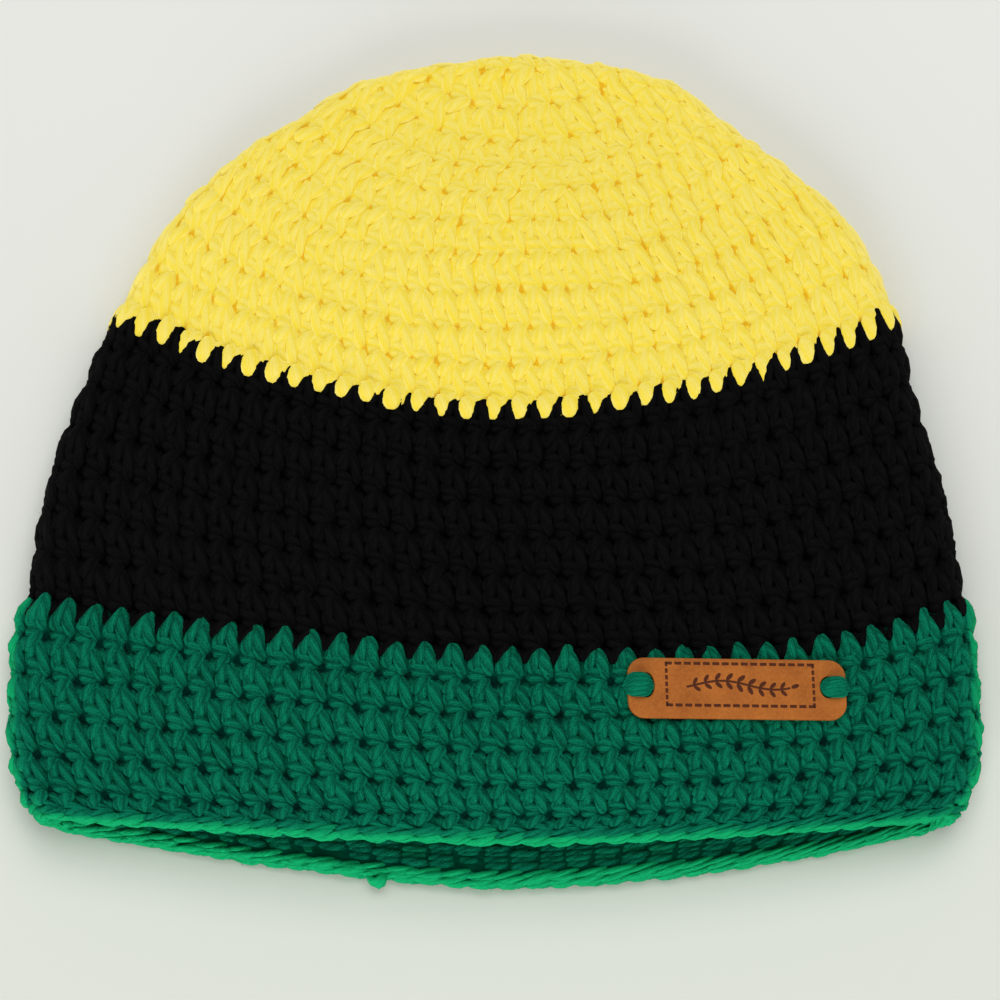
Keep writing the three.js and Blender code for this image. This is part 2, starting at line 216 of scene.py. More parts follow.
def outer_face(angle, at):
    """The fabric's outer face, in millimetres, at angles round the cap and shares of the way down."""
    sine, cosine = np.sin(angle), np.cos(angle)
    first = lambda name: read(CROWN_LINES, CROWN_NAMES, "at", at, name)
    side = first("side")
    reach = np.where(sine > 0, first("front"), 2 * side - first("back"))
    past = CAP_LENGTH * (side + (reach - side) * sine)
    across = half_width * first("half") * cosine
    shoulder = read(LINES[:SHOULDER_ROWS], LINE_NAMES, "half", np.abs(across) / half_width, "side")
    turned = np.minimum(np.abs(past), quarter_fold) / fold_radius
    inward = fold_radius * (1 - np.cos(turned)) + np.maximum(np.abs(past) - quarter_fold, 0)
    crown_y = -CAP_LENGTH * shoulder - inward
    crown_z = fold_radius + np.sign(past) * fold_radius * np.sin(turned)

    upper = sine > 0
    share = np.abs(cosine)
    half, side = line(at, "half"), line(at, "side")
    bend = np.where(cosine > 0, line(at, "bend_right"), line(at, "bend_left"))
    depth = np.where(upper, line(at, "front"), line(at, "back")) - side
    drop = CAP_LENGTH * depth * (1 - share**bend)
    reach_in = np.hypot(half_width * half * (1 - share), drop)
    flat = 1 - np.minimum(reach_in / fold_radius, 1)
    up = fold_radius * np.sqrt(1 - flat * flat)
    body_y = -CAP_LENGTH * side - drop
    body_z = fold_radius + np.where(upper, up, -up)

    mix = smooth_step(at, OVER_TOP, ON_SIDES)
    x = across * (1 - mix) + half_width * half * cosine * mix + CAP_WIDTH * line(at, "centre")
    y = crown_y * (1 - mix) + body_y * mix
    z = crown_z * (1 - mix) + body_z * mix
    z = z + shell_rise * line(at, "rise") * np.maximum(sine, 0) ** 2.5
    return np.stack([x, y, z], -1) + np.array(CAP_PLACE)


# The fabric as one long strip: down the outer face, over the rim and back up the inner face.
# Its rows are spaced in rounds, and its columns in equal steps of cloth from the middle of the
# upper layer to the right and all the way round.
ROW_STEP = 0.125
COLUMNS = 1440
FINE_COLUMNS = 2880
LIP_ROUNDS = 0.8
LIP_STEPS = 12


def make_strip():
    count = int(round(rounds / ROW_STEP))
    at = np.linspace(0.0, 1.0, count + 1)
    angle = math.pi / 2 - np.linspace(0, 2 * math.pi, FINE_COLUMNS + 1)
    fine = outer_face(angle[None, :], at[:, None])
    hops = np.linalg.norm(np.diff(fine, axis=1), axis=2)
    run = np.concatenate([np.zeros((len(at), 1)), np.cumsum(hops, axis=1)], 1)
    share = np.linspace(0, 1, COLUMNS + 1)
    even = np.empty((len(at), COLUMNS + 1))
    for i in range(len(at)):
        total = max(run[i, -1], 1e-6)
        steps = run[i] / total if run[i, -1] > 1e-6 else np.linspace(0, 1, len(angle))
        even[i] = np.interp(share, steps, angle)
    outer = outer_face(even, at[:, None])
    along = np.gradient(outer, axis=0)
    around = np.empty_like(outer)
    around[:, 1:-1] = outer[:, 2:] - outer[:, :-2]
    around[:, 0] = around[:, -1] = outer[:, 1] - outer[:, -2]
    normal = np.cross(along, around)
    normal /= np.maximum(np.linalg.norm(normal, axis=2, keepdims=True), 1e-9)
    normal[0] = normal[1].mean(axis=0)
    along /= np.maximum(np.linalg.norm(along, axis=2, keepdims=True), 1e-9)
    rim, rim_normal, rim_along = outer[-1], normal[-1], along[-1]
    turns = np.linspace(0, math.pi, LIP_STEPS + 1)
    inward = [rim - rim_normal * WALL / 2 * (1 - math.cos(w)) for w in turns]
    lip = [point + rim_along * LIP * math.sin(w) for point, w in zip(inward, turns)]
    lip_normal = [rim_normal * math.cos(w) + rim_along * math.sin(w) for w in turns]
    lip_rows = rounds + turns / math.pi * LIP_ROUNDS
    inner = (outer - normal * WALL)[::-1]
    inner_rows = rounds + LIP_ROUNDS + (1 - at[::-1]) * rounds
    points = np.concatenate([outer, np.array(lip[1:]), inner[1:]])
    normals = np.concatenate([normal, np.array(lip_normal[1:]), -normal[::-1][1:]])
    rows = np.concatenate([at * rounds, lip_rows[1:], inner_rows[1:]])
    return rows, points, normals


strip_rows, strip_points, strip_normals = make_strip()


def on_strip(down, share):
    """Points and outward directions at rounds down the strip and shares round the cap."""
    down = np.clip(down, 0, strip_rows[-1] - 1e-6)
    i = np.clip(np.searchsorted(strip_rows, down, side="right") - 1, 0, len(strip_rows) - 2)
    t = ((down - strip_rows[i]) / (strip_rows[i + 1] - strip_rows[i]))[..., None]
    column = (share % 1.0) * COLUMNS
    j = np.minimum(column.astype(int), COLUMNS - 1)
    s = (column - j)[..., None]

    def blend(grid):
        top = grid[i, j] * (1 - s) + grid[i, j + 1] * s
        low = grid[i + 1, j] * (1 - s) + grid[i + 1, j + 1] * s
        return top * (1 - t) + low * t

    direction = blend(strip_normals)
    direction /= np.maximum(np.linalg.norm(direction, axis=-1, keepdims=True), 1e-9)
    return blend(strip_points), direction


def nothing_selected():
    if bpy.context.object and bpy.context.object.mode != "OBJECT":
        bpy.ops.object.mode_set(mode="OBJECT")
    bpy.ops.object.select_all(action="DESELECT")


def mesh_arrays(obj):
    """A finished model's corners, triangles and UV map, ready for copying. The model is removed."""
    mesh = obj.data
    mesh.calc_loop_triangles()
    points = np.empty(len(mesh.vertices) * 3)
    mesh.vertices.foreach_get("co", points)
    triangles = np.array([t.vertices[:] for t in mesh.loop_triangles])
    loops = np.array([t.loops[:] for t in mesh.loop_triangles])
    uv = np.empty(len(mesh.loops) * 2)
    mesh.uv_layers[0].data.foreach_get("uv", uv)
    uv = uv.reshape(-1, 2)[loops.ravel()]
    bpy.data.objects.remove(obj)
    return points.reshape(-1, 3), triangles, uv


def model_strand(start, middle, end, radius, sides=8, rings=7):
    """A length of yarn, thick in its middle and thin at its ends, bent through three points."""
    to_mm = lambda p: Vector((p[0] * PITCH_ACROSS, -p[1] * PITCH_DOWN, p[2]))
    points = [to_mm(start), to_mm(middle), to_mm(end)]
    length = (points[1] - points[0]).length + (points[2] - points[1]).length
    nothing_selected()
    bpy.ops.curve.primitive_bezier_curve_add(location=(0, 0, 0))
    path = bpy.context.object
    spline = path.data.splines[0]
    spline.bezier_points.add(1)
    for knot, point in zip(spline.bezier_points, points):
        knot.co = point
        knot.handle_left_type = knot.handle_right_type = "AUTO"
    path.data.use_stretch = path.data.use_deform_bounds = True
    path.data.twist_mode = "Z_UP"
    nothing_selected()
    bpy.ops.mesh.primitive_uv_sphere_add(segments=sides, ring_count=rings, radius=radius)
    strand = bpy.context.object
    bpy.ops.object.mode_set(mode="EDIT")
    bpy.ops.mesh.select_all(action="SELECT")
    bpy.ops.transform.rotate(value=math.pi / 2, orient_axis="Y", center_override=(0, 0, 0))
    bpy.ops.object.mode_set(mode="OBJECT")
    for corner in strand.data.vertices:
        # the ends are fuller than a stretched ball's
        round_share = math.hypot(corner.co.y, corner.co.z) / radius
        fuller = max(round_share, 1e-3) ** -0.5
        corner.co = (corner.co.x * length / 2 / radius, corner.co.y * fuller, corner.co.z * fuller)
    bend = strand.modifiers.new("along the path", "CURVE")
    bend.object = path
    bend.deform_axis = "POS_X"
    bpy.ops.object.modifier_apply(modifier=bend.name)
    arrays = mesh_arrays(strand)
    bpy.data.objects.remove(path)
    return arrays


chance = np.random.default_rng(7)


def label_axes():
    """The label's right, its direction up its face and its outward direction."""
    right, up = np.array(TAG_RIGHT), np.array(TAG_UP)
    up = up / np.linalg.norm(up)
    right = right - up * (right @ up)
    right = right / np.linalg.norm(right)
    return right, np.cross(up, right), up


def pressed(points):
    """Presses yarn flat where the label lies on it and where it lies on the floor."""
    right, forward, up = label_axes()
    local = points - np.array(TAG_PLACE)
    x, y, z = local @ right, local @ forward, local @ up
    below = (np.abs(x) < TAG_LENGTH / 2) & (np.abs(y) < TAG_HEIGHT / 2)
    inside = below & (z > -BELOW_LABEL) & (z < PRESSED_HEIGHT)
    points = points - np.where(inside, z + BELOW_LABEL, 0)[:, None] * up
    points[:, 2] = np.maximum(points[:, 2], ABOVE_FLOOR)
    return points


class Yarn:
    """Gathers copies of strands into one piece."""

    def __init__(self):
        self.points, self.triangles, self.uv, self.shade, self.count = [], [], [], [], 0
        self.roots, self.outward = [], []

    def lay(
        self, strand, down, share, stitches, lit=0.0, full=1.0, thick=0.9, loose=1.0, holes=(1, 0), glow=1.0
    ):
        """Copies a strand to stitches at rounds down the strip and shares round it.

        lit is how brightly it is painted lit, full its size, thick its height, loose how unevenly it lies,
        holes how far the painted shade at the holes beside it reaches and how dark it is, and glow how much
        lighter it is painted where it faces sideways.
        """
        points, triangles, uv = strand
        n = len(down)
        turn = chance.normal(0, UNEVEN_TURN * loose, n)[:, None]
        grow = full * (1 + chance.normal(0, UNEVEN_SIZE * loose, n))[:, None]
        slide = chance.normal(0, UNEVEN_PLACE * loose, (n, 3))
        middle = points.mean(axis=0)
        local = points[None] - middle
        x = (local[..., 0] * np.cos(turn) - local[..., 1] * np.sin(turn)) * grow
        y = (local[..., 0] * np.sin(turn) + local[..., 1] * np.cos(turn)) * grow
        z = local[..., 2] * thick
        x = x + middle[0] + slide[:, 0:1]
        y = y + middle[1] + slide[:, 1:2]
        z = z + middle[2] + slide[:, 2:3]
        v = down[:, None] - y / PITCH_DOWN
        f = share[:, None] + x / PITCH_ACROSS / stitches[:, None]
        place, direction = on_strip(v, f)
        placed = place + direction * z[..., None]
        self.points.append(pressed(placed.reshape(-1, 3)))
        copy = np.arange(n)[:, None]
        corner = chance.integers(0, len(points), (n, FIBRES_PER_STRAND))
        self.roots.append(placed[copy, corner].reshape(-1, 3))
        self.outward.append(direction[copy, corner].reshape(-1, 3))
        offsets = (np.arange(n) * len(points))[:, None, None] + self.count
        self.triangles.append((triangles[None] + offsets).reshape(-1, 3))
        self.uv.append(np.tile(uv, (n, 1)))
        # each copy's painted light, with random lightness
        painted_light_and_tone = np.repeat(lit + chance.uniform(-UNEVEN_TONE, UNEVEN_TONE, n), len(points))
        across, below = x / PITCH_ACROSS, -y / PITCH_DOWN
        apart = [np.hypot((across - a) / HOLE_ACROSS, (below - b) / HOLE_DOWN) for a, b in HOLES]
        # depth is how dark the painted shade at the holes is
        reach, depth = holes
        near = np.clip(reach - np.minimum.reduce(apart), 0, 1)
        # the painted shade is darker at some holes than at others, in slow waves round the cap
        uneven = 0.8 + 0.35 * np.sin(f * 140 + v * 2.1)
        # yarn that faces sideways is painted lighter, as if its fuzz caught the light, but not deep down
        slant = np.sqrt(np.clip(1 - np.abs(direction[..., 2]), 0, 1))
        sideways = glow * slant * np.clip(z + 1.2, 0, 1)
        self.shade.append(painted_light_and_tone - depth * (near * uneven).ravel() + sideways.ravel())
        self.count += n * len(points)

    def piece(self, name, material):
        points, shade = np.concatenate(self.points) * MM, np.concatenate(self.shade)
        triangles, uv = np.concatenate(self.triangles), np.concatenate(self.uv)
        return finished_mesh(name, points, triangles, uv, material, shade)

    def fuzz(self, name, material):
        """Stray fibres: thin needles that stand out of the strands in all directions."""
        roots, outward = np.concatenate(self.roots), np.concatenate(self.outward)
        n = len(roots)
        unit = lambda v: v / np.linalg.norm(v, axis=1, keepdims=True)
        along = unit(outward * 0.7 + chance.normal(0, 0.6, (n, 3)))
        side = unit(np.cross(along, chance.normal(0, 1, (n, 3))))
        other = np.cross(along, side)
        length = chance.uniform(*FIBRE_LENGTH, (n, 1))
        start = roots - along * FIBRE_ROOT
        corners = np.arange(3) * 2 * math.pi / 3
        foot = [start + FIBRE_RADIUS * (math.cos(a) * side + math.sin(a) * other) for a in corners]
        points = np.stack([*foot, start + along * (length + FIBRE_ROOT)], 1).reshape(-1, 3)
        needle = np.array([(0, 2, 1), (0, 1, 3), (1, 2, 3), (2, 0, 3)])
        triangles = (needle[None] + 4 * np.arange(n)[:, None, None]).reshape(-1, 3)
        # the fibres are painted lit
        uv, shade = np.zeros((triangles.size, 2)), np.full(4 * n, FIBRE_PAINTED_LIGHT)
        return finished_mesh(name, pressed(points) * MM, triangles, uv, material, shade)


def finished_mesh(name, points, faces, uv, material, shade):
    """A piece from its points, in metres, its faces, their UV places and each point's painted light and
    shade, with any random lightness.
    """
    mesh = bpy.data.meshes.new(name)
    mesh.vertices.add(len(points))
    mesh.vertices.foreach_set("co", points.ravel())
    count, corners = faces.shape
    mesh.loops.add(faces.size)
    mesh.loops.foreach_set("vertex_index", faces.ravel().astype(np.int32))
    mesh.polygons.add(count)
    mesh.polygons.foreach_set("loop_start", np.arange(0, faces.size, corners, dtype=np.int32))
    mesh.polygons.foreach_set("loop_total", np.full(count, corners, dtype=np.int32))
    mesh.update(calc_edges=True)
    mesh.polygons.foreach_set("use_smooth", np.ones(count, dtype=bool))
    layer = mesh.uv_layers.new(name="along_yarn")
    layer.data.foreach_set("uv", uv.ravel())
    # painted light and shade per point, with any random lightness
    painted_light_and_tone = mesh.attributes.new("painted_light_and_tone", "FLOAT", "POINT")
    painted_light_and_tone.data.foreach_set("value", shade)
    mesh.update()
    mesh.materials.append(material)
    obj = bpy.data.objects.new(name, mesh)
    bpy.context.collection.objects.link(obj)
    return obj


# Materials
def new_group(name, inputs, outputs):
    group = bpy.data.node_groups.new(name, "ShaderNodeTree")
    for label, kind, value in inputs:
        socket = group.interface.new_socket(label, in_out="INPUT", socket_type=kind)
        if value is not None:
            socket.default_value = value
    for label, kind in outputs:
        group.interface.new_socket(label, in_out="OUTPUT", socket_type=kind)
    return group, group.nodes.new("NodeGroupInput"), group.nodes.new("NodeGroupOutput")


def maths(tree, operation, first, second=None, third=None, clamp=False):
    node = tree.nodes.new("ShaderNodeMath")
    node.operation = operation
    node.use_clamp = clamp
    for socket, value in zip(node.inputs, (first, second, third)):
        if value is None:
            continue
        if isinstance(value, (int, float)):
            socket.default_value = value
        else:
            tree.links.new(value, socket)
    return node.outputs[0]


def ply_group():
    """Twisted plies along a strand, with fine fibres over them."""
    group, given, out = new_group(
        "twisted_yarn",
        [
            ("UV", "NodeSocketVector", None),
            ("Plies", "NodeSocketFloat", 3.0),
            ("Twist", "NodeSocketFloat", 1.6),
            ("Fibres", "NodeSocketFloat", 1.0),
        ],
        [("Height", "NodeSocketFloat"), ("Fibre", "NodeSocketFloat")],
    )
    split = group.nodes.new("ShaderNodeSeparateXYZ")
    group.links.new(given.outputs["UV"], split.inputs[0])
    wound = maths(group, "MULTIPLY", split.outputs["Y"], given.outputs["Twist"])
    turn = maths(group, "ADD", split.outputs["X"], wound)
    plied = maths(group, "MULTIPLY", turn, given.outputs["Plies"])
    phase = maths(group, "MULTIPLY", plied, 2 * math.pi)
    ridge = maths(group, "ABSOLUTE", maths(group, "SINE", maths(group, "MULTIPLY", phase, 0.5)))
    stretch = group.nodes.new("ShaderNodeCombineXYZ")
    group.links.new(maths(group, "MULTIPLY", turn, 22.0), stretch.inputs["X"])
    group.links.new(maths(group, "MULTIPLY", split.outputs["Y"], 4.0), stretch.inputs["Y"])
    noise = group.nodes.new("ShaderNodeTexNoise")
    noise.inputs["Scale"].default_value = 1.0
    noise.inputs["Detail"].default_value = 3.0
    group.links.new(stretch.outputs[0], noise.inputs["Vector"])
    contrast = maths(group, "MULTIPLY_ADD", noise.outputs["Fac"], 3.2, -1.1, clamp=True)
    fibre = maths(group, "MULTIPLY", contrast, given.outputs["Fibres"])
    group.links.new(maths(group, "MULTIPLY_ADD", fibre, 0.9, ridge), out.inputs["Height"])
    group.links.new(fibre, out.inputs["Fibre"])
    return group


twisted_yarn = ply_group()


def new_material(name, roughness, gloss=0.2, sheen=0.0):
    material = bpy.data.materials.new(name)
    material.use_nodes = True
    shader = material.node_tree.nodes["Principled BSDF"]
    shader.inputs["Roughness"].default_value = roughness
    shader.inputs["Specular IOR Level"].default_value = gloss
    shader.inputs["Sheen Weight"].default_value = sheen
    shader.inputs["Sheen Roughness"].default_value = 0.45
    return material, material.node_tree, shader


def mixed(tree, share, first, second):
    node = tree.nodes.new("ShaderNodeMix")
    node.data_type = "RGBA"
    for socket, value in ((node.inputs[0], share), (node.inputs[6], first), (node.inputs[7], second)):
        if isinstance(value, tuple):
            socket.default_value = (*value, 1.0)
        elif isinstance(value, (int, float)):
            socket.default_value = value
        else:
            tree.links.new(value, socket)
    return node.outputs[2]


def yarn_material(colour):
    lit, shaded, crevice_shade, edge = YARNS[colour]
    sheen = 0.25 if colour == "yellow" else 0.0
    material, tree, shader = new_material(colour + "_yarn", 0.95, 0.05, sheen)
    shader.inputs["Diffuse Roughness"].default_value = 1.0
    shader.inputs["Sheen Tint"].default_value = (*lit, 1.0)
    # painted glow: the yellow yarn glows a little, for light it passes on
    if colour == "yellow":
        shader.inputs["Emission Color"].default_value = PASSED_LIGHT[0]
        shader.inputs["Emission Strength"].default_value = PASSED_LIGHT[1]
    uv = tree.nodes.new("ShaderNodeUVMap")
    uv.uv_map = "along_yarn"
    ply = tree.nodes.new("ShaderNodeGroup")
    ply.node_tree = twisted_yarn
    ply.inputs["Plies"].default_value = 4.0
    ply.inputs["Twist"].default_value = 0.7
    ply.inputs["Fibres"].default_value = 1.0
    tree.links.new(uv.outputs[0], ply.inputs["UV"])
    painted_light_and_tone = tree.nodes.new("ShaderNodeAttribute")
    painted_light_and_tone.attribute_name = "painted_light_and_tone"
    coords = tree.nodes.new("ShaderNodeTexCoord")
    fuzz = tree.nodes.new("ShaderNodeTexNoise")
    fuzz.inputs["Scale"].default_value = 2600.0
    fuzz.inputs["Detail"].default_value = 2.0
    tree.links.new(coords.outputs["Object"], fuzz.inputs["Vector"])
    soft = maths(tree, "MULTIPLY_ADD", fuzz.outputs["Fac"], 1.6, -0.8)
    # painted light along the plies: their ridges painted lit and their grooves shaded, with fuzz at random
    ridge = maths(tree, "MULTIPLY_ADD", ply.outputs["Height"], 0.7, maths(tree, "MULTIPLY", soft, 0.8))
    # how lit each point is painted, from its painted light and random lightness
    toned = maths(tree, "MULTIPLY_ADD", painted_light_and_tone.outputs["Fac"], 0.4, -0.35)
    bright = maths(tree, "ADD", ridge, toned, clamp=True)
    # painted highlight where the painted light passes 1, and painted crevice shade at the holes
    caught = maths(tree, "SUBTRACT", painted_light_and_tone.outputs["Fac"], 1.0, clamp=True)
    painted_hole_shade = maths(tree, "SUBTRACT", -0.45, painted_light_and_tone.outputs["Fac"], clamp=True)
    seen = mixed(tree, painted_hole_shade, mixed(tree, bright, shaded, lit), crevice_shade)
    tree.links.new(mixed(tree, caught, seen, edge), shader.inputs["Base Color"])
    bump = tree.nodes.new("ShaderNodeBump")
    bump.inputs["Strength"].default_value = 0.2 if colour == "yellow" else 0.8
    bump.inputs["Distance"].default_value = 0.0005
    tree.links.new(maths(tree, "ADD", ply.outputs["Height"], soft), bump.inputs["Height"])
    tree.links.new(bump.outputs[0], shader.inputs["Normal"])
    return material


def ground_material(colour):
    """The fabric behind the visible strands: loops in shadow."""
    shaded, crevice_shade = YARNS[colour][1:3]
    material, tree, shader = new_material(colour + "_crevices", 1.0, 0.0)
    # painted glow: the yellow cloth glows a little, for light the yarn passes on
    if colour == "yellow":
        shader.inputs["Emission Color"].default_value = PASSED_LIGHT_BEHIND[0]
        shader.inputs["Emission Strength"].default_value = PASSED_LIGHT_BEHIND[1]
    coords = tree.nodes.new("ShaderNodeTexCoord")
    noise = tree.nodes.new("ShaderNodeTexNoise")
    noise.inputs["Scale"].default_value = 900.0
    noise.inputs["Detail"].default_value = 4.0
    tree.links.new(coords.outputs["Object"], noise.inputs["Vector"])
    painted_light_and_tone = tree.nodes.new("ShaderNodeAttribute")
    painted_light_and_tone.attribute_name = "painted_light_and_tone"
    uv = tree.nodes.new("ShaderNodeUVMap")
    uv.uv_map = "along_yarn"
    cell = tree.nodes.new("ShaderNodeSeparateXYZ")
    tree.links.new(uv.outputs[0], cell.inputs[0])
    # how far a point is from its stitch's hole, where the cloth's painted shade is darkest
    squares = []
    for axis, centre, reach in (("X", HOLES[0][0], HOLE_ACROSS), ("Y", HOLE_ROW, HOLE_DOWN)):
        moved = maths(tree, "FRACT", maths(tree, "ADD", cell.outputs[axis], 2.5 - centre))
        off = maths(tree, "DIVIDE", maths(tree, "SUBTRACT", moved, 0.5), reach * 1.3)
        squares.append(maths(tree, "MULTIPLY", off, off))
    # painted shade: crevice colour at the holes, shaded colour elsewhere and where the attribute says so
    open_cloth = maths(tree, "SUBTRACT", maths(tree, "ADD", *squares), 0.4, clamp=True)
    open_cloth = maths(tree, "MAXIMUM", open_cloth, painted_light_and_tone.outputs["Fac"])
    cloth = maths(tree, "MULTIPLY_ADD", open_cloth, 0.9, -0.15)
    patchy = maths(tree, "MULTIPLY_ADD", noise.outputs["Fac"], 0.5, cloth, clamp=True)
    tree.links.new(mixed(tree, patchy, crevice_shade, shaded), shader.inputs["Base Color"])
    bump = tree.nodes.new("ShaderNodeBump")
    bump.inputs["Strength"].default_value = 0.8
    bump.inputs["Distance"].default_value = 0.0006
    tree.links.new(noise.outputs["Fac"], bump.inputs["Height"])
    tree.links.new(bump.outputs[0], shader.inputs["Normal"])
    return material


yarns = {colour: yarn_material(colour) for colour in YARNS}
grounds = {colour: ground_material(colour) for colour in YARNS}

strands = {name: model_strand(*shape) for name, shape in STRANDS.items()}
plain_strands = {name: model_strand(*shape, sides=6, rings=5) for name, shape in STRANDS.items()}
tip_strand = model_strand(*TIP)
peak_strands = [model_strand(*peak) for peak in PEAKS]
ALL_ROUNDS = CROWN_ROUNDS + MIDDLE_ROUNDS + BRIM_ROUNDS


def stitch_count(row):
    return min(INCREASE * row, STITCHES)


def stitch_shift(row):
    """Where a round starts, in stitches. While rounds still grow, every other one is half a stitch on."""
    return STITCH_SHIFT * row + (0.5 if row % 2 and stitch_count(row) < STITCHES else 0.0)


def rows_of(first, last):
    """Each stitch of some rounds: how many rounds down and how far round, and its round's count."""
    down, share, count = [], [], []
    for row in range(first, last + 1):
        n = stitch_count(row)
        down += [row - ROUND_LAP] * n
        share += [(i + stitch_shift(row)) / n for i in range(n)]
        count += [n] * n
    return np.array(down), np.array(share), np.array(count, float)


def crochet(first, last, layer, colour):
    """The visible strands of some rounds, on the upper or the lower layer."""
    yarn = Yarn()
    down, share, count = rows_of(first, last)
    upper = np.abs((share + 0.5) % 1.0 - 0.5) < UPPER_SHARE
    chosen = upper if layer == "upper" else ~upper
    kit = strands if layer == "upper" else plain_strands
    down, share, count = down[chosen], share[chosen], count[chosen]
    down = down + chance.normal(0, UNEVEN_ROUND, len(down))
    full, thick, *holes = LIE[colour]
    for strand in kit.values():
        yarn.lay(strand, down, share, count, full=full, thick=thick, holes=holes, glow=SIDE_GLOW)
    if colour == "yellow":
        ends = down > last - 1.5
        yarn.lay(tip_strand, down[ends], share[ends], count[ends], thick=thick)
    if colour == "green":
        starts = down < first - 0.5
        for strand in peak_strands:
            yarn.lay(strand, down[starts], share[starts], count[starts], thick=thick, glow=SIDE_GLOW)
    return yarn


def chain_edge():
    """The braid round the mouth, and the bars of the last rounds that show inside it."""
    yarn = Yarn()
    count = np.full(STITCHES, float(STITCHES))
    share = (np.arange(STITCHES) + STITCH_SHIFT * ALL_ROUNDS) / STITCHES
    for start, middle, end, radius, lit in EDGE_STRANDS.values():
        level = middle[1]
        shape = [(a, row - level, h) for a, row, h in (start, middle, end)]
        ply = model_strand(*shape, radius * EDGE_PLY)
        for side in (-1, 1):
            down = np.full(STITCHES, level + side * EDGE_PLY_APART)
            # painted light: of each pair of plies, one is painted lighter than the other
            yarn.lay(ply, down, share + side * EDGE_PLY_SLIP / STITCHES, count, lit + 0.15 * side)
    bar = model_strand(*INSIDE_BAR, sides=6)
    for row in range(INSIDE_ROUNDS):
        for step in INSIDE_BARS:
            down = np.full(STITCHES, INSIDE_START + INSIDE_STEP * row + step)
            # painted light: the bars inside the mouth are painted lit, lifting their shade
            yarn.lay(bar, down, share + (0.5 + 0.3 * row) / STITCHES, count, 0.95, thick=0.65)
    end = model_strand(*YARN_END, sides=12, rings=12)
    place = np.array([YARN_END_ROUND]), np.array([YARN_END_SHARE])
    yarn.lay(end, *place, count[:1], YARN_END_LIT, loose=0)
    return yarn


def ground(name, colour, first, last, rim=False):
    """The closed fabric of one band, a little thinner than the real one, behind its strands."""
    turned = rounds + LIP_ROUNDS
    inner_to = turned + (rounds - first)
    if rim:
        outer_rows = np.arange(first, turned + 1e-6, 0.2)
        inner_rows = np.arange(turned + 0.2, inner_to + 1e-6, 0.5)
    else:
        outer_rows = np.arange(first, last + 1e-6, 0.25)
        inner_rows = np.arange(turned + (rounds - last), inner_to + 1e-6, 0.5)
    rows = np.concatenate([outer_rows, inner_rows])
    columns = 360
    share = np.arange(columns) / columns
    place, direction = on_strip(rows[:, None] + 0 * share, share[None] + 0 * rows[:, None])
    outer = rows[:, None, None] <= rounds
    points = place - direction * np.where(outer, 1.0, 0.5)
    r = len(rows)
    index = np.arange(r * columns).reshape(r, columns)
    a, b = index, np.roll(index, -1, axis=1)
    c, d = np.roll(b, -1, axis=0), np.roll(a, -1, axis=0)
    quads = np.stack([a, d, c, b], -1)
    # the UV map counts stitches across and rounds down, so that the painted hole shade falls between the
    # strands
    whole = np.ceil(rows + 0.01).astype(int)
    stitches = np.array([stitch_count(row) for row in whole])[:, None]
    shifts = np.array([stitch_shift(row) for row in whole])[:, None]
    below = np.roll(rows, -1)[:, None] + 0 * share
    here = rows[:, None] + 0 * share
    before, after = share * stitches - shifts, (share + 1 / columns) * stitches - shifts
    uv = np.stack([before, here, before, below, after, below, after, here], -1)
    if first == 0:
        quads, uv = quads[:-1], uv[:-1]
    quads, uv = quads.reshape(-1, 4), uv.reshape(-1, 2)
    # no painted hole shade where the fabric turns over the rim: the cloth is painted in its shaded colour
    # there
    near_rim = smooth_step(rows, 25.0, 25.3) * (1 - smooth_step(rows, 28.0, 29.5))
    painted_light_and_tone = np.repeat(near_rim, columns)
    return finished_mesh(name, points.reshape(-1, 3) * MM, quads, uv, grounds[colour], painted_light_and_tone)


def dress(piece, node):
    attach(piece, "root")
    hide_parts(node)


# The three bands
BANDS = [
    ("crown", "yellow", 0, CROWN_ROUNDS, "crown"),
    ("middle", "black", CROWN_ROUNDS, CROWN_ROUNDS + MIDDLE_ROUNDS, "middle_band"),
    ("brim", "green", CROWN_ROUNDS + MIDDLE_ROUNDS, ALL_ROUNDS, "brim_band"),
]
for band, colour, above, last, node in BANDS:
    for layer in ("upper", "lower"):
        yarn = crochet(above + 1, last, layer, colour)
        dress(yarn.piece(f"{band}_stitches_{layer}", yarns[colour]), node)
        if layer == "upper":
            dress(yarn.fuzz(f"{band}_fibres", yarns[colour]), node)
    rim = band == "brim"
    dress(ground(f"{band}_fabric", colour, above, rounds if rim else last, rim), node)
edge = chain_edge()
dress(edge.piece("chain_edge", yarns["green"]), "brim_band")
dress(edge.fuzz("chain_edge_fibres", yarns["green"]), "brim_band")


# The label
def tag_frame():
    turn = Matrix([[float(v) for v in axis] for axis in label_axes()]).transposed().to_4x4()
    return Matrix.Translation(Vector(TAG_PLACE) * MM) @ turn @ Matrix.Scale(MM, 4)


def settle(obj, name, material, smooth=40):
    """Takes a piece made in the label's plane to its place, with its place in its mesh."""
    obj.name = obj.data.name = name
    obj.data.transform(tag_frame() @ obj.matrix_world)
    obj.matrix_world = Matrix.Identity(4)
    obj.data.materials.clear()
    obj.data.materials.append(material)
    nothing_selected()
    obj.select_set(True)
    bpy.context.view_layer.objects.active = obj
    bpy.ops.object.shade_smooth_by_angle(angle=math.radians(smooth))
    return obj


def apply_modifier(obj, kind, name, **values):
    modifier = obj.modifiers.new(name, kind)
    for key, value in values.items():
        setattr(modifier, key, value)
    bpy.context.view_layer.objects.active = obj
    bpy.ops.object.modifier_apply(modifier=modifier.name)


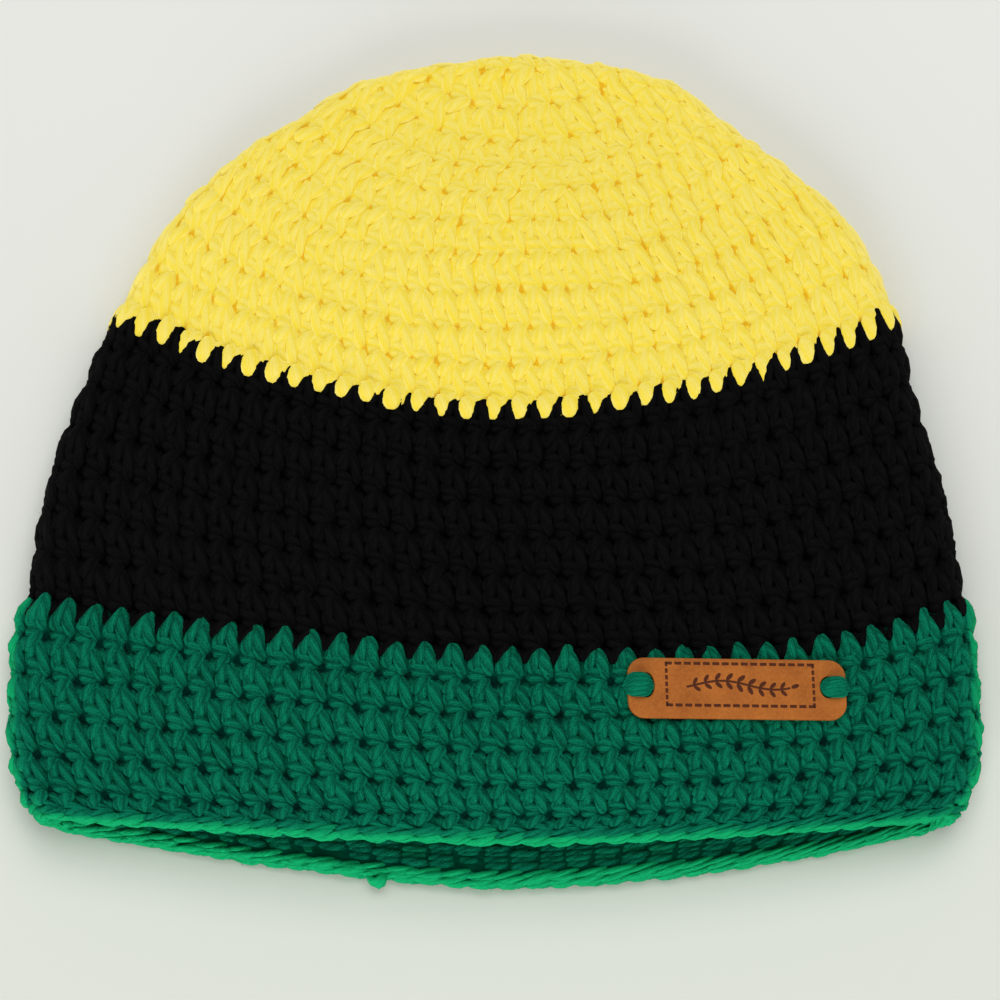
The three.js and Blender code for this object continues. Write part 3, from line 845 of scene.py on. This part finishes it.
def leather_material():
    lit, dark = LEATHER
    material, tree, shader = new_material("tan_leather", 0.68, 0.15)
    coords = tree.nodes.new("ShaderNodeTexCoord")
    grain = tree.nodes.new("ShaderNodeTexVoronoi")
    grain.feature = "DISTANCE_TO_EDGE"
    grain.inputs["Scale"].default_value = 1500.0
    tree.links.new(coords.outputs["Object"], grain.inputs["Vector"])
    cloud = tree.nodes.new("ShaderNodeTexNoise")
    cloud.inputs["Scale"].default_value = 160.0
    cloud.inputs["Detail"].default_value = 5.0
    tree.links.new(coords.outputs["Object"], cloud.inputs["Vector"])
    speck = tree.nodes.new("ShaderNodeTexNoise")
    speck.inputs["Scale"].default_value = 1300.0
    speck.inputs["Detail"].default_value = 2.0
    tree.links.new(coords.outputs["Object"], speck.inputs["Vector"])
    specks = maths(tree, "MULTIPLY_ADD", speck.outputs["Fac"], 1.6, -1.3)
    share = maths(tree, "MULTIPLY_ADD", cloud.outputs["Fac"], 2.0, specks, clamp=True)
    tree.links.new(mixed(tree, share, dark, lit), shader.inputs["Base Color"])
    bump = tree.nodes.new("ShaderNodeBump")
    bump.inputs["Strength"].default_value = 0.35
    bump.inputs["Distance"].default_value = 0.0002
    rough = maths(tree, "ADD", grain.outputs["Distance"], speck.outputs["Fac"])
    tree.links.new(rough, bump.inputs["Height"])
    tree.links.new(bump.outputs[0], shader.inputs["Normal"])
    return material


def burnt_material():
    material, tree, shader = new_material("burnt_lines", 0.8, 0.1)
    coords = tree.nodes.new("ShaderNodeTexCoord")
    noise = tree.nodes.new("ShaderNodeTexNoise")
    noise.inputs["Scale"].default_value = 1200.0
    tree.links.new(coords.outputs["Object"], noise.inputs["Vector"])
    tree.links.new(mixed(tree, noise.outputs["Fac"], *BURNT), shader.inputs["Base Color"])
    return material


def leather_tag():
    """The label: corners rounded, a hole punched near each end, edges worn."""
    nothing_selected()
    size = (TAG_LENGTH, TAG_HEIGHT, TAG_THICKNESS)
    bpy.ops.mesh.primitive_cube_add(size=1, location=(0, 0, TAG_THICKNESS / 2), scale=size)
    tag = bpy.context.object
    bpy.ops.object.transform_apply(location=True, rotation=False, scale=True)
    bpy.ops.object.mode_set(mode="EDIT")
    bpy.ops.mesh.select_mode(type="EDGE")
    bpy.ops.mesh.select_all(action="DESELECT")
    bpy.ops.object.mode_set(mode="OBJECT")
    for edge in tag.data.edges:
        a, b = (tag.data.vertices[v].co for v in edge.vertices)
        edge.select = abs(a.z - b.z) > TAG_THICKNESS / 2
    bpy.ops.object.mode_set(mode="EDIT")
    bpy.ops.mesh.bevel(offset=TAG_CORNER, segments=10, affect="EDGES")
    bpy.ops.object.mode_set(mode="OBJECT")
    for side in (-1, 1):
        nothing_selected()
        middle = (side * (TAG_LENGTH / 2 - BRIDGE - HOLE_LENGTH / 2), LOOP_RISE, 0)
        bpy.ops.mesh.primitive_cylinder_add(vertices=40, radius=0.5, depth=8, location=middle)
        punch = bpy.context.object
        punch.scale = (HOLE_LENGTH - PUNCH_LESS_LONG, HOLE_HEIGHT - PUNCH_LESS_HIGH[side], 1)
        apply_modifier(tag, "BOOLEAN", "hole", object=punch, operation="DIFFERENCE", solver="EXACT")
        bpy.data.objects.remove(punch)
    worn = {"width": 0.32, "segments": 3, "limit_method": "ANGLE", "angle_limit": math.radians(50)}
    apply_modifier(tag, "BEVEL", "worn edge", **worn)
    return settle(tag, "leather_tag_finished", leather_material(), 35)


def stem(s):
    """The leaf sprig's stem, in the label's plane, at a share of its length."""
    return -12.3 + 25.0 * s, 0.8 + 1.0 * math.sin(s * 2 * math.pi - 0.6)


def tag_lines():
    """A stitched-looking frame of short burnt lines, and a leaf sprig inside it."""
    nothing_selected()
    bpy.ops.mesh.primitive_cube_add(size=1, scale=(1.75, 0.8, 0.3))
    dash = bpy.context.object
    bpy.ops.object.transform_apply(location=True, rotation=False, scale=True)
    apply_modifier(dash, "BEVEL", "soft ends", width=0.14, segments=2, limit_method="NONE")
    nothing_selected()
    bpy.ops.mesh.primitive_uv_sphere_add(segments=12, ring_count=8, radius=1)
    leaf = bpy.context.object
    bpy.ops.object.mode_set(mode="EDIT")
    bpy.ops.mesh.select_all(action="SELECT")
    bpy.ops.transform.rotate(value=math.pi / 2, orient_axis="Y", center_override=(0, 0, 0))
    bpy.ops.transform.resize(value=(1.35, 0.56, 0.14), center_override=(0, 0, 0))
    bpy.ops.transform.translate(value=(1.35, 0, 0))
    bpy.ops.object.mode_set(mode="OBJECT")
    top = TAG_THICKNESS - BURNT_SINK
    copies = []
    for k in range(LONG_DASHES):
        x = FRAME_LEFT + 0.55 + k * (FRAME_RIGHT - FRAME_LEFT - 1.1) / (LONG_DASHES - 1)
        copies += [(dash, x, y, 0.0, 1.0, 1.0) for y in (FRAME_LOW, FRAME_HIGH)]
    for k in range(SHORT_DASHES):
        y = FRAME_LOW + 0.25 + k * (FRAME_HIGH - FRAME_LOW - 0.5) / (SHORT_DASHES - 1)
        copies += [(dash, x, y, 90.0, 0.66, 0.9) for x in (FRAME_LEFT, FRAME_RIGHT)]
    for k in range(STEM_PIECES):
        x0, y0 = stem(k / STEM_PIECES)
        x1, y1 = stem(k / STEM_PIECES + 1 / STEM_PIECES)
        heading = math.degrees(math.atan2(y1 - y0, x1 - x0))
        copies.append((dash, (x0 + x1) / 2, (y0 + y1) / 2, heading, 0.64, 0.7))
    for k in range(LEAF_PAIRS):
        s = 0.06 + 0.105 * k
        x0, y0 = stem(s)
        x1, y1 = stem(s + 0.01)
        heading = math.degrees(math.atan2(y1 - y0, x1 - x0))
        size = 1.0 - 0.045 * abs(k - LEAF_PAIRS // 2)
        copies += [(leaf, x0, y0, heading + side * 48, 1.15 * size, 1.4 * size) for side in (-1, 1)]
    copies.append((leaf, *stem(1.0), 20.0, 1.0, 1.3))
    parts = []
    for model, x, y, degrees, long, wide in copies:
        part = model.copy()
        part.data = model.data.copy()
        bpy.context.collection.objects.link(part)
        turn = Matrix.Rotation(math.radians(degrees), 4, "Z")
        part.matrix_world = Matrix.Translation((x, y, top)) @ turn @ Matrix.Diagonal((long, wide, 1, 1))
        part.data.transform(part.matrix_world)
        part.matrix_world = Matrix.Identity(4)
        parts.append(part)
    for model in (dash, leaf):
        bpy.data.objects.remove(model)
    nothing_selected()
    for part in parts:
        part.select_set(True)
    bpy.context.view_layer.objects.active = parts[0]
    bpy.ops.object.join()
    return settle(parts[0], "leather_tag_lines", burnt_material(), 60)


def tag_loop(side, name):
    """Turns of yarn pulled flat over the label's end: side by side, highest in the middle."""
    parts = []
    middle = (LOOP_INNER + LOOP_OUTER) / 2
    for turn in range(LOOP_TURNS):
        off = turn - LOOP_TURNS // 2
        y = off * LOOP_SPACING[side]
        crown = 2.75 - 0.16 * abs(off) ** 1.8
        reach = 1 - 0.06 * abs(off) ** 1.6
        nothing_selected()
        bpy.ops.curve.primitive_bezier_curve_add()
        path = bpy.context.object
        spline = path.data.splines[0]
        spline.bezier_points.add(3)
        stops = [
            ((LOOP_INNER - middle) * reach + middle, 0.2),
            (LOOP_INNER * 0.62 + LOOP_OUTER * 0.38, crown * 0.86),
            (middle, crown),
            (LOOP_INNER * 0.3 + LOOP_OUTER * 0.7, crown * 0.86),
            ((LOOP_OUTER - middle) * reach + middle, 0.1),
        ]
        for knot, (x, z) in zip(spline.bezier_points, stops):
            knot.co = (side * (TAG_LENGTH / 2 - x), LOOP_RISE + y * (0.55 if z < 1 else 1.0), z)
            knot.handle_left_type = knot.handle_right_type = "AUTO"
        path.data.use_stretch = path.data.use_deform_bounds = True
        path.data.twist_mode = "Z_UP"
        nothing_selected()
        bpy.ops.mesh.primitive_uv_sphere_add(segments=12, ring_count=20, radius=LOOP_YARN)
        strand = bpy.context.object
        bpy.ops.object.mode_set(mode="EDIT")
        bpy.ops.mesh.select_all(action="SELECT")
        bpy.ops.transform.rotate(value=math.pi / 2, orient_axis="Y", center_override=(0, 0, 0))
        bpy.ops.transform.resize(value=(6, 1, 1), center_override=(0, 0, 0))
        bpy.ops.object.mode_set(mode="OBJECT")
        apply_modifier(strand, "CURVE", "over the label's end", object=path, deform_axis="POS_X")
        bpy.data.objects.remove(path)
        strand.data.uv_layers[0].name = "along_yarn"
        parts.append(strand)
    nothing_selected()
    for part in parts:
        part.select_set(True)
    bpy.context.view_layer.objects.active = parts[0]
    bpy.ops.object.join()
    loop = parts[0]
    # the loops are painted lit
    painted_light_and_tone = loop.data.attributes.new("painted_light_and_tone", "FLOAT", "POINT")
    painted_light_and_tone.data.foreach_set("value", np.full(len(loop.data.vertices), 0.95))
    return settle(loop, name, yarns["green"], 180)


dress(leather_tag(), "leather_tag")
dress(tag_lines(), "leather_tag")
dress(tag_loop(-1, "yarn_loop_left"), "tag_loop_left")
dress(tag_loop(1, "yarn_loop_right"), "tag_loop_right")

# Camera
CAMERA_DISTANCE = 0.6
target = Vector((1.5, -16.1, 10.0)) * MM
elevation = math.radians(70)
away = Vector((0, -math.cos(elevation), math.sin(elevation)))
lens = bpy.data.cameras.new("camera")
lens.sensor_width, lens.lens = 36.0, 86.4
camera = bpy.data.objects.new("camera", lens)
bpy.context.collection.objects.link(camera)
camera.location = target + away * CAMERA_DISTANCE
camera.rotation_euler = (-away).to_track_quat("-Z", "Y").to_euler()
lens.clip_start, lens.clip_end = 0.01, 20
bpy.context.scene.camera = camera


# Floor and light
def soft_light(name, place, look, size, power, colour=(1, 1, 1)):
    data = bpy.data.lights.new(name, "AREA")
    data.shape, data.size, data.energy, data.color = "SQUARE", size, power, colour
    obj = bpy.data.objects.new(name, data)
    bpy.context.collection.objects.link(obj)
    obj.location = place
    obj.rotation_euler = (Vector(look) - Vector(place)).to_track_quat("-Z", "Y").to_euler()


nothing_selected()
bpy.ops.mesh.primitive_plane_add(size=6, location=(0, 0, 0))
floor = bpy.context.object
floor.name = "floor"
paper, tree, shader = new_material("pale_paper", 0.85)
coords = tree.nodes.new("ShaderNodeTexCoord")
split = tree.nodes.new("ShaderNodeSeparateXYZ")
tree.links.new(coords.outputs["Object"], split.inputs[0])
# painted shade: the floor is painted darker towards the front, for the light falling off there
far = maths(tree, "MULTIPLY_ADD", split.outputs["Y"], 4.0, 0.56, clamp=True)
pale = mixed(tree, far, (0.654, 0.678, 0.615), (0.722, 0.728, 0.69))
tree.links.new(pale, shader.inputs["Base Color"])
floor.data.materials.append(paper)

world = bpy.data.worlds.new("studio")
world.use_nodes = True
world.node_tree.nodes["Background"].inputs[0].default_value = (1, 1, 1, 1)
world.node_tree.nodes["Background"].inputs[1].default_value = 0.46
bpy.context.scene.world = world
soft_light("window", (-0.25, -1.4, 0.45), (0, 0, 0), 1.0, 18)
soft_light("ceiling", (0.2, 0.8, 1.6), (0, 0.1, 0), 1.6, 20)
bpy.context.scene.view_settings.view_transform = "Standard"
